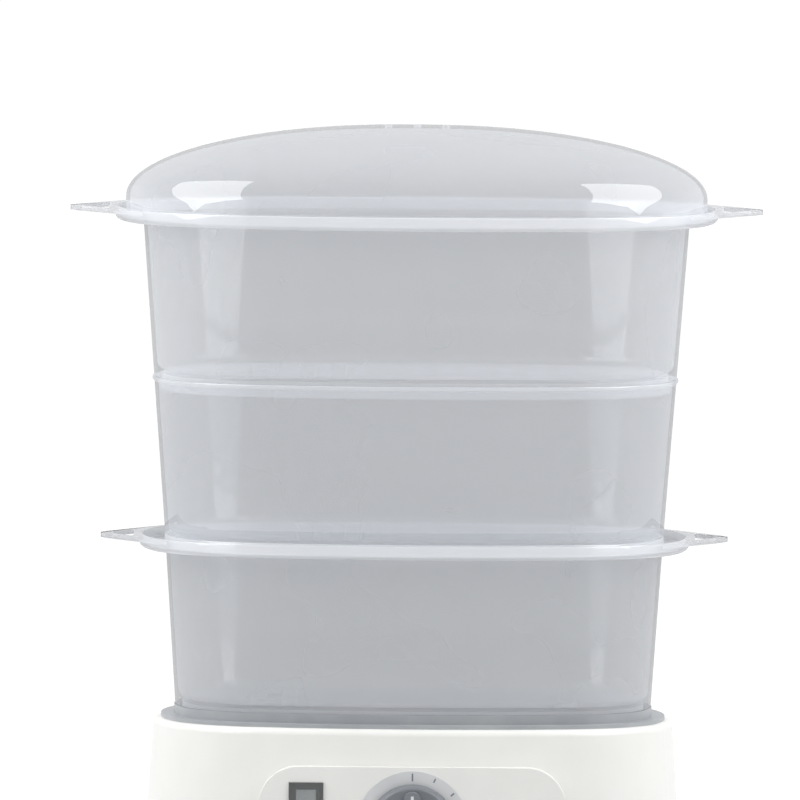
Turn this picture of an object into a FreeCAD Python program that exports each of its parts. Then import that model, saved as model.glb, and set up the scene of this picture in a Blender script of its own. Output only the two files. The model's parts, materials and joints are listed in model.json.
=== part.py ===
import FreeCAD, Part
import math
import os
import Sketcher
from FreeCAD import Vector

# An electric food steamer: a base with a water tank, a drip tray, three stacked
# bowls with perforated floors and a domed lid. Every outline in plan is the same
# oval, larger or smaller by an offset. Millimetres, +Z up, +X to the right seen
# from the front, front towards -Y, origin under the middle of the base on the
# surface that it stands on.

DIMENSIONS = {
    # the oval in plan, taken at the outer wall of the lower bowl's rim
    "half_width": 137.1,
    "half_depth": 91.0,
    "front_radius": 380.0,
    "side_radius": 140.0,
    "corner_radius": 62.0,
    # bowls
    "bowl_wall": 2.0,
    "bowl_floor": 1.6,
    "floor_corner": 4.0,
    "lower_seat_in": 6.2,
    "middle_rim_out": 6.6,
    "upper_rim_out": 13.6,
    "lower_bowl_height": 93.6,
    "middle_bowl_height": 86.9,
    "upper_bowl_height": 93.4,
    "lower_floor_rise": 3.9,
    "middle_floor_rise": 1.2,
    "upper_floor_rise": 3.9,
    "nest_depth": 6.9,
    "nest_clearance": 0.5,
    "nest_draft": 0.4,
    "middle_bead": 1.0,
    "bead_height": 1.6,
    # gutter around the rims of the lower and the upper bowl
    "lower_gutter": 14.2,
    "upper_gutter": 15.1,
    "gutter_depth": 8.3,
    "gutter_rise": 1.2,
    "gutter_corner": 3.6,
    # ear-shaped loop handles
    "handle_reach_lower": 21.1,
    "handle_reach_upper": 24.4,
    "handle_tip_half": 8.0,
    "handle_splay": 1.65,
    "handle_corner": 22.0,
    "handle_plate": 2.5,
    "handle_bar": 6.5,
    "grip_inner_gap": 3.0,
    "grip_corner": 3.5,
    # slots in the floors
    "slot_length": 9.0,
    "slot_width": 3.2,
    "slot_pitch_x": 17.0,
    "slot_pitch_y": 14.0,
    "slot_columns": 11.0,
    "slot_rows": 8.0,
    # lid
    "lid_out": 22.7,
    "lid_wall": 2.2,
    "lid_rise": 45.5,
    "collar_above_rim": 5.6,
    "vent_size": 4.0,
    "vent_pitch": 16.0,
    "vent_back": 26.0,
    # base
    "foot_height": 3.0,
    "shell_wall": 2.5,
    "base_rim_height": 111.0,
    "base_top_out": 5.5,
    "base_bottom_out": 13.0,
    "shoulder_radius": 4.0,
    "tray_recess_in": 5.2,
    "ledge_drop": 13.0,
    "seat_lip": 5.0,
    "tank_in": 30.0,
    "tank_draft": 3.0,
    "tank_floor_height": 40.0,
    # drip tray
    "tray_wall": 2.0,
    "tray_clearance": 0.5,
    "tray_collar": 5.0,
    "steam_half_width": 58.0,
    "steam_half_depth": 26.0,
    "steam_corner": 20.0,
    "steam_lip": 9.0,
    # control panel on the front of the base
    "panel_half_width": 84.0,
    "panel_half_height": 33.0,
    "panel_corner": 22.0,
    "panel_centre_height": 58.0,
    "panel_out": 12.0,
    "panel_wall": 3.0,
    # timer
    "shaft_radius": 3.0,
    "shaft_fit": 0.06,
    "shaft_depth": 12.0,
    "timer_half": 22.0,
    "timer_corner": 5.0,
    "timer_depth": 26.0,
    "timer_screw_spread": 16.0,
    "timer_screw_radius": 1.5,
    "timer_screw_length": 9.0,
    "timer_head_radius": 2.8,
    "timer_head_height": 1.2,
    "knob_radius": 24.0,
    "knob_disc": 6.4,
    "knob_taper": 1.5,
    "knob_edge": 2.0,
    "knob_gap": 1.6,
    "knob_wall": 2.2,
    "knob_boss_radius": 6.0,
    "grip_width": 9.0,
    "grip_height": 7.5,
    "grip_end": 4.0,
    "dial_radius": 31.0,
    "dial_hole_radius": 21.0,
    "dial_thickness": 1.2,
    # lamp and water gauge in the panel
    "lamp_side": 58.0,
    "lens_radius": 4.0,
    "lens_rim": 1.6,
    "lens_rim_height": 1.0,
    "lens_dome": 2.4,
    "lens_round": 1.9,
    "lens_clearance": 0.1,
    "lamp_radius": 2.4,
    "lamp_length": 16.0,
    "lamp_round": 1.7,
    "gauge_side": 58.0,
    "gauge_half_width": 7.0,
    "gauge_half_height": 22.0,
    "gauge_depth": 12.0,
    "gauge_wall": 1.5,
    "gauge_rim": 2.5,
    "gauge_rim_height": 1.0,
    "gauge_clearance": 0.1,
    "float_height": 7.0,
    "float_clearance": 0.5,
    "link_radius": 4.0,
    "link_wall": 1.2,
    "link_clearance": 0.2,
    "link_past_wall": 7.2,
    # heater in the tank floor
    "heater_hole_radius": 44.0,
    "heater_flange": 6.0,
    "heater_plate_thickness": 1.5,
    "heater_body_radius": 40.0,
    "heater_body_depth": 7.5,
    "heater_dish": 0.8,
    "seal_thickness": 1.5,
    "element_ring_radius": 30.0,
    "element_tube_radius": 3.3,
    "element_leg_length": 12.0,
    "element_leg_radius": 2.3,
    "element_leg_share": 0.35,
    "clamp_width": 12.0,
    "clamp_thickness": 1.5,
    "clamp_gap": 1.0,
    "stud_radius": 2.0,
    "stud_clearance": 0.1,
    "stud_length": 10.0,
    "nut_corner": 4.0,
    "nut_height": 3.0,
    "stud_circle": 47.0,
    "thermostat_radius": 8.0,
    "thermostat_height": 7.0,
    "thermostat_rim": 2.0,
    "fuse_radius": 2.4,
    "fuse_half_length": 8.0,
    "fuse_back": 17.0,
    "turbo_radius": 55.0,
    "turbo_wall": 1.8,
    "turbo_height": 34.0,
    "turbo_lip": 9.0,
    "turbo_gate_width": 12.0,
    "turbo_gate_height": 5.0,
    # underside
    "cover_thickness": 2.5,
    "cover_clearance": 0.4,
    "post_x": 78.0,
    "post_y": 34.0,
    "post_radius": 5.0,
    "screw_radius": 1.6,
    "screw_clearance": 0.2,
    "screw_head_radius": 3.2,
    "screw_head_height": 2.0,
    "screw_length": 14.0,
    "foot_x": 104.0,
    "foot_y": 56.0,
    "foot_radius": 9.0,
    "foot_stem_radius": 3.0,
    "foot_stem_out": 1.0,
    "vent_slot_width": 3.0,
    "vent_slot_length": 24.0,
    "vent_slot_pitch": 9.0,
    "inlet_height": 20.0,
    "inlet_radius": 6.5,
    "inlet_bore": 3.6,
    "inlet_flange": 2.5,
    "inlet_flange_thickness": 2.0,
    "block_half_width": 16.0,
    "block_depth": 14.0,
    "block_height": 11.0,
    "block_back": 68.0,
}

# The lid's dome is drawn by ovals at these shares of its height, each scaled as
# on an ellipse that this power makes a little fuller.
LID_SHARES = (0.0, 0.2, 0.4, 0.58, 0.74, 0.87, 0.955, 0.99)
LID_POWER = 2.1

# Places that follow from the dimensions, each an expression of the cells and of
# the places above it.
PLACES = {
    "cover_top": "dims.foot_height + dims.cover_thickness",
    "ledge_height": "dims.base_rim_height - dims.ledge_drop",
    "tray_flange_top": "dims.base_rim_height + dims.tray_wall",
    "lower_seat": "at.tray_flange_top + dims.tray_collar",
    "lower_rim": "at.lower_seat + dims.lower_bowl_height",
    "middle_rim": "at.lower_rim + dims.middle_bowl_height",
    "upper_rim": "at.middle_rim + dims.upper_bowl_height",
    "gutter_floor": "dims.bowl_wall + dims.gutter_rise - dims.gutter_depth",
    "lid_crease": "at.upper_rim + dims.collar_above_rim",
    "lid_dome": "dims.lid_rise - dims.collar_above_rim",
    "tray_out": "-dims.tray_recess_in - dims.tray_clearance",
    "tray_under": "at.ledge_height + dims.tray_clearance",
    "tray_top": "at.tray_under + dims.tray_wall",
    "tank_floor_under": "dims.tank_floor_height - dims.shell_wall",
    "panel_face": "dims.half_depth + dims.panel_out",
    "panel_back": "at.panel_face - dims.panel_wall",
    "dial_face": "at.panel_face + dims.dial_thickness",
    "knob_back": "at.dial_face + dims.knob_gap",
    "knob_face": "at.knob_back + dims.knob_disc",
    "shaft_end": "at.knob_face - dims.knob_wall",
    "shaft_start": "at.panel_back - dims.shaft_depth",
    "plate_under": "dims.tank_floor_height + dims.seal_thickness",
    "plate_top": "at.plate_under + dims.heater_plate_thickness",
    "heater_under": "at.plate_under - dims.heater_body_depth",
    "plate_radius": "dims.heater_hole_radius + dims.heater_flange",
    "clamp_under": "at.tank_floor_under - dims.clamp_thickness",
    "gauge_back": "at.panel_back - dims.gauge_depth",
    "gauge_front": "at.panel_face + dims.gauge_rim_height - dims.gauge_wall",
    "gauge_inner_half": "dims.gauge_half_width - dims.gauge_clearance - dims.gauge_wall",
    "gauge_inner_high": "dims.gauge_half_height - dims.gauge_clearance - dims.gauge_wall",
    "link_height": "dims.tank_floor_height + dims.link_radius + dims.shell_wall",
    "rear_wall": "dims.half_depth + dims.base_bottom_out",
}

doc = FreeCAD.newDocument("food_steamer")

dims = doc.addObject("Spreadsheet::Sheet", "dims")
for row, (name, value) in enumerate(DIMENSIONS.items(), start=1):
    dims.set(f"A{row}", name)
    dims.set(f"B{row}", str(value))
    dims.setAlias(f"B{row}", name)
doc.recompute()

at = doc.addObject("App::VarSet", "at")
for name, rule in PLACES.items():
    at.addProperty("App::PropertyFloat", name, "Places")
    at.setExpression(name, rule)
    doc.recompute()


def number(rule):
    """The present value of an expression, used to start a sketch near its solution."""
    value = at.evalExpression(rule)
    return float(getattr(value, "Value", value))


def bind(sketch, constraint, rule):
    """Adds a constraint whose value is an expression."""
    index = sketch.addConstraint(constraint)
    sketch.setExpression(f"Constraints[{index}]", rule)


def new_body(label):
    body = doc.addObject("PartDesign::Body", label)
    body.Label = label
    return body


def origin_feature(body, role):
    return next(item for item in body.Origin.OriginFeatures if item.Role == role)


def new_sketch(body, name, plane, shift):
    """A sketch on one of the body's own planes, moved along the plane's normal."""
    sketch = body.newObject("Sketcher::SketchObject", name)
    sketch.AttachmentSupport = [(origin_feature(body, plane), "")]
    sketch.MapMode = "FlatFace"
    if shift:
        sketch.setExpression(".AttachmentOffset.Base.z", shift)
    return sketch


def draw_outline(sketch, corners):
    """Closes a loop through corners given as (x rule, y rule) or (x, y, radius).

    Each corner is a point held at its rules. The sides pass through the points,
    and a corner with a radius is rounded by an arc tangent to its two sides.
    """
    count = len(corners)
    at_corner = [Vector(number(c[0]), number(c[1]), 0) for c in corners]
    marks = []
    for corner, place in zip(corners, at_corner):
        mark = sketch.addGeometry(Part.Point(place), True)
        bind(sketch, Sketcher.Constraint("DistanceX", mark, 1, place.x), corner[0])
        bind(sketch, Sketcher.Constraint("DistanceY", mark, 1, place.y), corner[1])
        marks.append(mark)

    def cut_back(index):
        """How much of each side the arc at this corner takes away."""
        if len(corners[index]) < 3:
            return 0.0
        here = at_corner[index]
        one = (at_corner[index - 1] - here).normalize()
        other = (at_corner[(index + 1) % count] - here).normalize()
        half_angle = one.getAngle(other) / 2
        return number(corners[index][2]) / math.tan(half_angle)

    sides = []
    for index in range(count):
        here = at_corner[index]
        there = at_corner[(index + 1) % count]
        way = (there - here).normalize()
        start = here + way * cut_back(index)
        end = there - way * cut_back((index + 1) % count)
        side = sketch.addGeometry(Part.LineSegment(start, end), False)
        sides.append(side)
    for index in range(count):
        before, after = sides[index - 1], sides[index]
        if len(corners[index]) < 3:
            sketch.addConstraint(Sketcher.Constraint("Coincident", before, 2, marks[index], 1))
            sketch.addConstraint(Sketcher.Constraint("Coincident", after, 1, marks[index], 1))
            continue
        radius = number(corners[index][2])
        here = at_corner[index]
        one = (at_corner[index - 1] - here).normalize()
        other = (at_corner[(index + 1) % count] - here).normalize()
        half_angle = one.getAngle(other) / 2
        start = here + one * (radius / math.tan(half_angle))
        end = here + other * (radius / math.tan(half_angle))
        centre = here + (one + other).normalize() * (radius / math.sin(half_angle))
        middle = centre + (here - centre).normalize() * radius
        turns_left = one.cross(other).z < 0
        ends = (start, middle, end) if turns_left else (end, middle, start)
        arc = sketch.addGeometry(Part.Arc(*ends), False)
        arc_start, arc_end = (1, 2) if turns_left else (2, 1)
        sketch.addConstraint(Sketcher.Constraint("Tangent", before, 2, arc, arc_start))
        sketch.addConstraint(Sketcher.Constraint("Tangent", arc, arc_end, after, 1))
        bind(sketch, Sketcher.Constraint("Radius", arc, radius), corners[index][2])
        sketch.addConstraint(Sketcher.Constraint("PointOnObject", marks[index], 1, before))
        sketch.addConstraint(Sketcher.Constraint("PointOnObject", marks[index], 1, after))


def outline(body, name, plane, corners, shift=None):
    sketch = new_sketch(body, name, plane, shift)
    draw_outline(sketch, corners)
    return sketch


def draw_circle(sketch, x, y, radius):
    place = Vector(number(x), number(y), 0)
    circle = Part.Circle(place, Vector(0, 0, 1), number(radius))
    index = sketch.addGeometry(circle, False)
    bind(sketch, Sketcher.Constraint("DistanceX", index, 3, place.x), x)
    bind(sketch, Sketcher.Constraint("DistanceY", index, 3, place.y), y)
    bind(sketch, Sketcher.Constraint("Radius", index, number(radius)), radius)


def circles(body, name, plane, places, radius, shift=None):
    """One sketch of equal circles at (x rule, y rule) places."""
    sketch = new_sketch(body, name, plane, shift)
    for x, y in places:
        draw_circle(sketch, x, y, radius)
    return sketch


def draw_oval(sketch, out, scale="1"):
    """The oval in plan, offset outwards by a rule and then scaled about the middle.

    It is eight tangent arcs: a long arc at the front and the back, one at each
    side, and four tighter ones between them, whose centres tangency finds.
    """
    first = sketch.GeometryCount
    front_rule = f"(dims.front_radius + {out}) * ({scale})"
    side_rule = f"(dims.side_radius + {out}) * ({scale})"
    corner_rule = f"(dims.corner_radius + {out}) * ({scale})"
    front_centre_rule = f"(dims.front_radius - dims.half_depth) * ({scale})"
    side_centre_rule = f"(dims.side_radius - dims.half_width) * ({scale})"
    front = number(front_rule)
    side = number(side_rule)
    corner = number(corner_rule)
    front_centre = number(front_centre_rule)
    side_centre = number(side_centre_rule)
    # the corner arc's centre lies where its distances to the other two are known
    to_front = front - corner
    to_side = side - corner
    apart = math.hypot(front_centre, side_centre)
    along = (to_front**2 - to_side**2 + apart**2) / (2 * apart)
    across = math.sqrt(to_front**2 - along**2)
    way = Vector(-side_centre, -front_centre, 0) / apart
    turn = Vector(-way.y, way.x, 0)
    corner_centre = Vector(0, front_centre, 0) + way * along + turn * across
    front_joint = math.atan2(corner_centre.y - front_centre, corner_centre.x)
    side_joint = math.atan2(corner_centre.y, corner_centre.x + side_centre)
    half_turn = math.pi
    x, y = corner_centre.x, corner_centre.y
    arcs = [
        (0, front_centre, front, -half_turn - front_joint, front_joint),
        (x, y, corner, front_joint, side_joint),
        (-side_centre, 0, side, side_joint, -side_joint),
        (x, -y, corner, -side_joint, -front_joint),
        (0, -front_centre, front, -front_joint, half_turn + front_joint),
        (-x, -y, corner, half_turn + front_joint, half_turn + side_joint),
        (side_centre, 0, side, half_turn + side_joint, half_turn - side_joint),
        (-x, y, corner, half_turn - side_joint, half_turn - front_joint),
    ]
    for centre_x, centre_y, radius, start, end in arcs:
        circle = Part.Circle(Vector(centre_x, centre_y, 0), Vector(0, 0, 1), radius)
        sketch.addGeometry(Part.ArcOfCircle(circle, start, end), False)
    for index in range(8):
        following = first + (index + 1) % 8
        sketch.addConstraint(Sketcher.Constraint("Tangent", first + index, 2, following, 1))
    for arc in (first, first + 4):
        sketch.addConstraint(Sketcher.Constraint("PointOnObject", arc, 3, -2))
        bind(sketch, Sketcher.Constraint("Radius", arc, front), front_rule)
    for arc in (first + 2, first + 6):
        sketch.addConstraint(Sketcher.Constraint("PointOnObject", arc, 3, -1))
        bind(sketch, Sketcher.Constraint("Radius", arc, side), side_rule)
    for arc in (first + 1, first + 3, first + 5, first + 7):
        bind(sketch, Sketcher.Constraint("Radius", arc, corner), corner_rule)
    centres = [
        ("DistanceY", first, front_centre, front_centre_rule),
        ("DistanceY", first + 4, -front_centre, f"-({front_centre_rule})"),
        ("DistanceX", first + 2, -side_centre, f"-({side_centre_rule})"),
        ("DistanceX", first + 6, side_centre, side_centre_rule),
    ]
    for kind, arc, value, rule in centres:
        bind(sketch, Sketcher.Constraint(kind, arc, 3, value), rule)


def oval(body, name, out, shift=None, scale="1"):
    sketch = new_sketch(body, name, "XY_Plane", shift)
    draw_oval(sketch, out, scale)
    return sketch


def pad(body, name, sketch, length, reverse=False):
    feature = body.newObject("PartDesign::Pad", name)
    feature.Profile = sketch
    feature.Reversed = reverse
    feature.setExpression("Length", length)
    return feature


def pocket(body, name, sketch, length=None, reverse=False, both=False):
    """Cuts a sketch to a depth, or through everything where no depth is given."""
    feature = body.newObject("PartDesign::Pocket", name)
    feature.Profile = sketch
    feature.Reversed = reverse
    if length:
        feature.setExpression("Length", length)
    else:
        feature.Type = "ThroughAll"
        feature.Midplane = both
    return feature


def sweep(body, name, profile, path):
    feature = body.newObject("PartDesign::AdditivePipe", name)
    feature.Profile = profile
    feature.Spine = (path, [f"Edge{index + 1}" for index in range(8)])
    return feature


def turned(body, name, sketch, axis="Z_Axis", cut=False):
    kind = "PartDesign::Groove" if cut else "PartDesign::Revolution"
    feature = body.newObject(kind, name)
    feature.Profile = sketch
    feature.ReferenceAxis = (origin_feature(body, axis), "")
    feature.Angle = 360
    return feature


def floor_slots(body, top, depth):
    """The rows and columns of drain slots, cut from one slot."""
    last_x = "(dims.slot_columns - 1) * dims.slot_pitch_x"
    last_y = "(dims.slot_rows - 1) * dims.slot_pitch_y"
    left = f"-({last_x}) / 2 - dims.slot_length / 2"
    right = f"-({last_x}) / 2 + dims.slot_length / 2"
    front = f"-({last_y}) / 2 - dims.slot_width / 2"
    back = f"-({last_y}) / 2 + dims.slot_width / 2"
    corners = [(left, front), (right, front), (right, back), (left, back)]
    slot = pocket(body, "slot", outline(body, "slot_outline", "XY_Plane", corners, top), depth)
    rows = body.newObject("PartDesign::LinearPattern", "slots")
    rows.Originals = [slot]
    rows.Direction = (origin_feature(body, "X_Axis"), "")
    rows.Direction2 = (origin_feature(body, "Y_Axis"), "")
    rows.setExpression("Length", last_x)
    rows.setExpression("Occurrences", "dims.slot_columns")
    rows.setExpression("Length2", last_y)
    rows.setExpression("Occurrences2", "dims.slot_rows")
    body.Tip = rows


def loop_handles(body, rim, gutter, reach, plate_top):
    """A flat ear at each end of the rim, with a hole for the fingers.

    An ear splays from its rounded tip to the bowl's wall, so that it meets the rim
    along its whole curve, and the gutter is cleared again where the ears cross it.
    The hole keeps a bar of one width along the ear's edge.
    """
    edge = f"dims.half_width + {rim} + {gutter}"
    root = f"dims.half_width + {rim} - dims.bowl_wall / 2"
    tip = f"{edge} + {reach}"
    inner = f"{edge} + dims.grip_inner_gap"
    outer = f"{tip} - dims.handle_bar"
    bar_across = "dims.handle_bar * sqrt(1 + dims.handle_splay ^ 2)"

    def ear_half(place):
        return f"dims.handle_tip_half + dims.handle_splay * ({tip} - ({place}))"

    def hole_half(place):
        return f"{ear_half(place)} - {bar_across}"

    ears = new_sketch(body, "ears_outline", "XY_Plane", plate_top)
    grips = new_sketch(body, "grips_outline", "XY_Plane", plate_top)
    for side in ("1", "-1"):
        draw_outline(ears, [
            (f"{side} * ({root})", f"-({ear_half(root)})"),
            (f"{side} * ({tip})", "-dims.handle_tip_half", "dims.handle_corner"),
            (f"{side} * ({tip})", "dims.handle_tip_half", "dims.handle_corner"),
            (f"{side} * ({root})", ear_half(root)),
        ])
        draw_outline(grips, [
            (f"{side} * ({inner})", f"-({hole_half(inner)})", "dims.grip_corner"),
            (f"{side} * ({outer})", f"-({hole_half(outer)})", "dims.grip_corner"),
            (f"{side} * ({outer})", hole_half(outer), "dims.grip_corner"),
            (f"{side} * ({inner})", hole_half(inner), "dims.grip_corner"),
        ])
    pad(body, "ears", ears, "dims.handle_plate", reverse=True)
    channel = oval(body, "channel_oval", f"{rim} + {gutter} - dims.bowl_wall", plate_top)
    draw_oval(channel, rim)
    pocket(body, "channel", channel, "dims.handle_plate")
    return pocket(body, "grips", grips, "dims.handle_plate")


def make_bowl(label, seat, rim, seat_out, rim_out, below_out, floor_rise, gutter=None, reach=None):
    """A drafted bowl: collar that nests in the piece below, floor, wall and rim.

    seat and rim are heights, the out rules are offsets of the wall's outer face,
    and below_out is that face at the rim of the piece that the collar nests in.
    """
    body = new_body(label)
    slope = f"(({rim_out}) - ({seat_out})) / ({rim} - {seat})"

    def out(rule):
        return f"dims.half_width + ({rule})"

    def outer_wall(below_rim):
        return out(f"{rim_out} - {slope} * ({below_rim})")

    inner_floor = out(f"{seat_out} + {slope} * {floor_rise} - dims.bowl_wall")
    collar = f"{below_out} - dims.bowl_wall - dims.nest_clearance"
    floor_edge = f"{seat_out} - dims.bowl_wall - 2 * dims.floor_corner"
    floor_top = f"{seat} + {floor_rise}"
    floor_under = f"{seat} + {floor_rise} - dims.bowl_floor"
    corners = [(out(seat_out), seat)]
    if gutter:
        edge = f"{rim_out} + {gutter}"
        corners += [
            (outer_wall("dims.gutter_depth"), f"{rim} - dims.gutter_depth"),
            (out(edge), f"{rim} - dims.gutter_depth + dims.gutter_rise", "dims.gutter_corner"),
            (out(edge), rim),
            (out(f"{edge} - dims.bowl_wall"), rim),
            (out(f"{edge} - dims.bowl_wall"), f"{rim} + at.gutter_floor"),
            (out(f"{rim_out} + dims.bowl_wall / 4"), f"{rim} + at.gutter_floor - dims.gutter_rise"),
        ]
    else:
        lower_edge = f"{rim} - dims.bead_height"
        corners += [
            (outer_wall("dims.bead_height + dims.middle_bead"), f"{lower_edge} - dims.middle_bead"),
            (out(f"{rim_out} + dims.middle_bead"), lower_edge),
        ]
    if gutter:
        corners += [(out(rim_out), rim)]
    else:
        corners += [(out(f"{rim_out} + dims.middle_bead"), rim)]
    corners += [
        (out(f"{rim_out} - dims.bowl_wall"), rim),
        (inner_floor, floor_top, "dims.floor_corner"),
        (out(floor_edge), floor_top),
        (out(floor_edge), floor_under),
        (out(f"{collar} - dims.bowl_wall"), floor_under),
        (out(f"{collar} - dims.bowl_wall"), f"{seat} - dims.nest_depth"),
        (out(f"{collar} - dims.nest_draft"), f"{seat} - dims.nest_depth"),
        (out(collar), seat),
    ]
    path = oval(body, "path", "0", seat)
    profile = outline(body, "section", "XZ_Plane", corners)
    sweep(body, "wall", profile, path)
    inside_edge = f"{floor_edge} + dims.bowl_wall / 2"
    pad(body, "floor", oval(body, "floor_oval", inside_edge, floor_top), "dims.bowl_floor", True)
    if reach:
        loop_handles(body, rim_out, gutter, reach, rim)
    floor_slots(body, floor_top, "dims.bowl_floor")
    return body


def make_lid():
    """A dome whose ovals shrink as an ellipse's do, on a straight collar."""
    body = new_body("lid")
    edge = "dims.half_width + dims.lid_out"
    foot = "at.upper_rim + at.gutter_floor"
    collar_oval = oval(body, "collar_oval", "dims.lid_out", foot)
    pad(body, "collar", collar_oval, f"at.lid_crease - ({foot})")

    def dome(kind, name, inset):
        """Ovals at shares of the dome's height, from the crease up to a small flat."""
        sketches = []
        for index, share in enumerate(LID_SHARES):
            scale = (1 - share**2) ** (1 / LID_POWER)
            level = f"at.lid_crease + (at.lid_dome - {inset}) * {share}"
            sketches.append(oval(body, f"{name}_{index}", f"dims.lid_out - {inset}", level, f"{scale:.4f}"))
        loft = body.newObject(kind, name)
        loft.Profile = sketches[0]
        loft.Sections = sketches[1:]
        return loft

    dome("PartDesign::AdditiveLoft", "dome", "0")
    dome("PartDesign::SubtractiveLoft", "dome_inside", "dims.lid_wall")
    inside = oval(body, "collar_inside_oval", "dims.lid_out - dims.lid_wall", "at.lid_crease")
    pocket(body, "collar_inside", inside, f"at.lid_crease - ({foot})")
    places = [(f"{step} * dims.vent_pitch", "dims.vent_back") for step in (-1, 0, 1)]
    vents = circles(body, "vent_circles", "XY_Plane", places, "dims.vent_size / 2", "at.lid_crease")
    pocket(body, "vents", vents, "dims.lid_rise", reverse=True)
    return body


STUD_PLACES = [
    ("dims.stud_circle", "0"),
    ("0", "dims.stud_circle"),
    ("-dims.stud_circle", "0"),
    ("0", "-dims.stud_circle"),
]


def stud_circles(body, name, shift, radius="dims.stud_radius + dims.stud_clearance"):
    """Four circles on the circle of the heater's studs."""
    return circles(body, name, "XY_Plane", STUD_PLACES, radius, shift)


def make_base_shell():
    """Outer wall and rim, with a lip inside for the tank, and the front panel."""
    body = new_body("base_shell")
    slope = "(dims.base_bottom_out - dims.base_top_out) / (dims.base_rim_height - dims.foot_height)"

    def out(rule):
        return f"dims.half_width + ({rule})"

    wall = "dims.shell_wall"
    recess = "-dims.tray_recess_in"
    seat = f"at.ledge_height - {wall}"
    rim_under = f"dims.base_rim_height - {wall}"
    corners = [
        (out("dims.base_bottom_out"), "dims.foot_height"),
        (out("dims.base_top_out"), "dims.base_rim_height", "dims.shoulder_radius"),
        (out(recess), "dims.base_rim_height"),
        (out(recess), seat),
        (out(f"{recess} - dims.seat_lip"), seat),
        (out(f"{recess} - dims.seat_lip"), f"{seat} - {wall}"),
        (out(f"{recess} + {wall}"), f"{seat} - {wall}"),
        (out(f"{recess} + {wall}"), rim_under),
        (out(f"dims.base_top_out + {slope} * {wall} - {wall}"), rim_under),
        (out(f"dims.base_bottom_out - {wall}"), "dims.foot_height"),
    ]
    path = oval(body, "path", "0", "at.ledge_height")
    sweep(body, "wall", outline(body, "section", "XZ_Plane", corners), path)
    # the panel stands out of the front wall as a flat-faced tray, open behind
    centre = "dims.panel_centre_height"

    def panel(name, shrink, shift):
        wide = f"(dims.panel_half_width - {shrink})"
        high = f"(dims.panel_half_height - {shrink})"
        radius = f"dims.panel_corner - {shrink}"
        return outline(body, name, "XZ_Plane", [
            (f"-{wide}", f"{centre} - {high}", radius),
            (wide, f"{centre} - {high}", radius),
            (wide, f"{centre} + {high}", radius),
            (f"-{wide}", f"{centre} + {high}", radius),
        ], shift)

    reach = "dims.panel_out"
    pad(body, "panel", panel("panel_outline", "0", "at.panel_face"), f"{reach} + {wall}", True)
    inside = panel("panel_inside_outline", "dims.panel_wall", "at.panel_back")
    pocket(body, "panel_inside", inside, f"{reach} + 2 * {wall} - dims.panel_wall")
    hole = "dims.shaft_radius + dims.shaft_fit"
    holes = circles(body, "shaft_hole_circle", "XZ_Plane", [("0", centre)], hole, "at.panel_face")
    pocket(body, "shaft_hole", holes, "dims.panel_wall")
    lamp = circles(body, "lamp_hole_circle", "XZ_Plane", [("dims.lamp_side", centre)],
                   "dims.lens_radius", "at.panel_face")
    pocket(body, "lamp_hole", lamp, "dims.panel_wall")
    screws = [(f"{side} * dims.timer_screw_spread", centre) for side in (-1, 1)]
    pocket(body, "timer_screw_holes", circles(body, "timer_screw_circles", "XZ_Plane", screws,
           "dims.timer_screw_radius", "at.panel_face"), "dims.panel_wall")
    wide, high = "dims.gauge_half_width", "dims.gauge_half_height"
    side = "-dims.gauge_side"
    window = outline(body, "window_outline", "XZ_Plane", [
        (f"{side} - {wide}", f"{centre} - {high}"),
        (f"{side} + {wide}", f"{centre} - {high}"),
        (f"{side} + {wide}", f"{centre} + {high}"),
        (f"{side} - {wide}", f"{centre} + {high}"),
    ], "at.panel_face")
    pocket(body, "window", window, "dims.panel_wall")
    inlet = circles(body, "inlet_circle", "XZ_Plane", [("0", "dims.inlet_height")],
                    "dims.inlet_radius", "-dims.half_depth")
    pocket(body, "inlet_hole", inlet, "2 * dims.base_bottom_out")
    return body


def make_water_tank():
    """A tank hung by its flange on the lip of the base, with posts for the cover."""
    body = new_body("water_tank")

    def out(rule):
        return f"dims.half_width + ({rule})"

    wall = "dims.shell_wall"
    ledge_under = f"at.ledge_height - {wall}"
    bottom = "-dims.tank_in - dims.tank_draft"
    corners = [
        (out("at.tray_out"), "at.ledge_height"),
        (out("-dims.tank_in"), "at.ledge_height"),
        (out(bottom), "dims.tank_floor_height"),
        (out(f"{bottom} - {wall}"), "dims.tank_floor_height"),
        (out(f"{bottom} - {wall}"), "at.tank_floor_under"),
        (out(f"{bottom} + {wall}"), "at.tank_floor_under"),
        (out(f"-dims.tank_in + {wall}"), ledge_under),
        (out("at.tray_out"), ledge_under),
    ]
    path = oval(body, "path", "0", "at.ledge_height")
    sweep(body, "wall", outline(body, "section", "XZ_Plane", corners), path)
    floor_oval = oval(body, "floor_oval", f"{bottom} - {wall} / 2", "dims.tank_floor_height")
    pad(body, "floor", floor_oval, wall, True)
    # a hole low in the tank's front wall lets the water into the gauge
    link = circles(body, "link_circle", "XZ_Plane", [("-dims.gauge_side", "at.link_height")],
                   "dims.link_radius", "at.gauge_back")
    pocket(body, "link_hole", link, "at.gauge_back")
    heater_hole = circles(body, "heater_circle", "XY_Plane", [("0", "0")],
                          "dims.heater_hole_radius", "dims.tank_floor_height")
    pocket(body, "heater_hole", heater_hole, wall)
    pocket(body, "stud_holes", stud_circles(body, "stud_circles", "dims.tank_floor_height"), wall)
    posts = [(f"{x} * dims.post_x", f"{y} * dims.post_y") for x in (-1, 1) for y in (-1, 1)]
    pad(body, "posts", circles(body, "post_circles", "XY_Plane", posts, "dims.post_radius",
        "at.tank_floor_under"), "at.tank_floor_under - at.cover_top", True)
    pocket(body, "post_bores", circles(body, "bore_circles", "XY_Plane", posts, "dims.screw_radius",
           "at.cover_top"), "dims.screw_length", reverse=True)
    return body


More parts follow.
